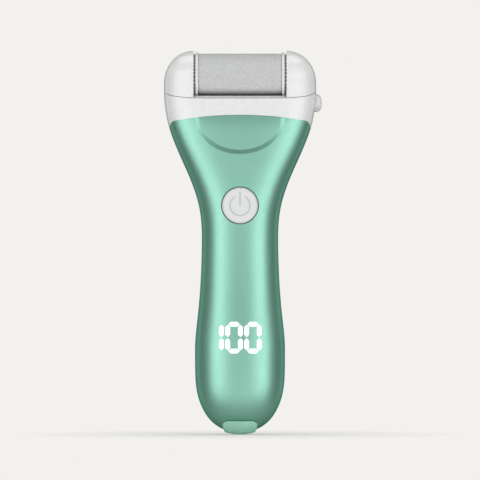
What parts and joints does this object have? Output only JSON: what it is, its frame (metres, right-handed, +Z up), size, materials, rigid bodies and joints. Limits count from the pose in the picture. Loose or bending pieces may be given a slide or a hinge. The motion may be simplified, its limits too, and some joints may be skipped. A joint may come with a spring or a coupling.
{
  "type": "electric callus remover",
  "caption": "Cordless foot file: a mint-green waisted handle with power button and lit number, and a white pop-off head with a motor-driven abrasive roller.",
  "frame": {"origin": "on the charging port's axis, at the lowest plane of the closed port cover", "axes": "+Z up the handle towards the roller, -Y is the front with button and display, X runs along the roller"},
  "size_m": [0.068, 0.0358, 0.1648],
  "materials": {
    "green_metallic": "metallic mint-green lacquer over moulded plastic, satin gloss",
    "white_gloss": "white moulded ABS, polished",
    "button_grey": "light grey moulded ABS with a bevelled bright rim",
    "symbol_grey": "grey printed and raised mark",
    "display_glow": "translucent diffuser lit from behind",
    "black_plastic": "black moulded plastic, matte",
    "circuit_board": "green solder mask on glass-epoxy board",
    "bare_steel": "bare rolled or turned steel",
    "battery_wrap": "heat-shrunk film round a lithium cell",
    "mint_silicone": "soft silicone, matte mint green",
    "ferrite": "sintered ferrite",
    "copper": "enamelled copper winding on laminations",
    "brass": "turned brass",
    "bronze": "oil-filled sintered bronze",
    "white_nylon": "natural acetal, satin",
    "abrasive": "bonded grey mineral grit, fine"
  },
  "bodies": {
    "handle": {"front_shell": "green_metallic", "rear_shell": "green_metallic", "shell_screws": "bare_steel", "collar_front": "white_gloss", "collar_rear": "white_gloss", "display_light_guide": "display_glow", "display_module": "black_plastic", "main_board": "circuit_board", "board_chips": "black_plastic", "tact_switch": "bare_steel", "battery_cell": "battery_wrap", "battery_tabs_pair": "bare_steel", "battery_holder": "black_plastic", "charging_socket": "bare_steel", "charging_board": "circuit_board", "port_cover_strap": "mint_silicone", "motor_bracket": "bare_steel", "motor_screws": "bare_steel", "motor_can": "bare_steel", "motor_magnets": "ferrite", "motor_end_cap": "black_plastic", "idler_axle": "bare_steel", "release_spring": "bare_steel"},
    "motor_rotor": {"motor_armature": "copper", "motor_shaft": "bare_steel", "motor_pinion": "brass"},
    "idler": {"idler_gear": "white_nylon"},
    "ejector": {"ejector_plate": "white_nylon"},
    "roller_head": {"head_cover": "white_gloss", "roller_bushings": "bronze"},
    "roller": {"roller_shaft": "bare_steel", "roller_core": "white_nylon", "abrasive_sleeve": "abrasive", "roller_cap_left": "white_nylon", "roller_cap_right": "white_nylon"},
    "release": {"release_button": "white_gloss"},
    "power": {"power_button": "button_grey", "power_symbol": "symbol_grey", "switch_plunger": "black_plastic"},
    "port_lid": {"port_cover": "mint_silicone"}
  },
  "joints": [
    {"name": "head_eject", "type": "slide", "parent": "handle", "child": "ejector", "axis": [0, 0, 1], "range_m": [0, 0.0025]},
    {"name": "release_press", "type": "slide", "parent": "handle", "child": "release", "axis": [-1, 0, 0], "range_m": [0, 0.0025], "stiffness_N_per_m": 600, "springref_m": -0.0015, "deforming": ["release_spring"]},
    {"name": "head_lift", "type": "slide", "parent": "ejector", "child": "roller_head", "axis": [0, 0, 1], "range_m": [0, 0.03]},
    {"name": "roller_spin", "type": "hinge", "parent": "roller_head", "child": "roller", "pos_m": [0, 0, 0.1535], "axis": [1, 0, 0], "continuous": true},
    {"name": "idler_spin", "type": "hinge", "parent": "handle", "child": "idler", "pos_m": [0, 0, 0.1365], "axis": [1, 0, 0], "continuous": true},
    {"name": "motor_spin", "type": "hinge", "parent": "handle", "child": "motor_rotor", "pos_m": [0, 0, 0.126], "axis": [1, 0, 0], "continuous": true},
    {"name": "power_press", "type": "slide", "parent": "handle", "child": "power", "axis": [0, 1, 0], "range_m": [0, 0.0005], "stiffness_N_per_m": 1500, "springref_m": -0.0003},
    {"name": "port_cover_hinge", "type": "hinge", "parent": "handle", "child": "port_lid", "pos_m": [0, 0.0063, 0.0015], "axis": [1, 0, 0], "range_deg": [0, 100]}
  ],
  "couplings": [
    {"joint": "idler_spin", "follows": "roller_spin", "ratio": -1.2667},
    {"joint": "motor_spin", "follows": "roller_spin", "ratio": 3.1667},
    {"joint": "head_eject", "follows": "release_press", "ratio": 1}
  ]
}
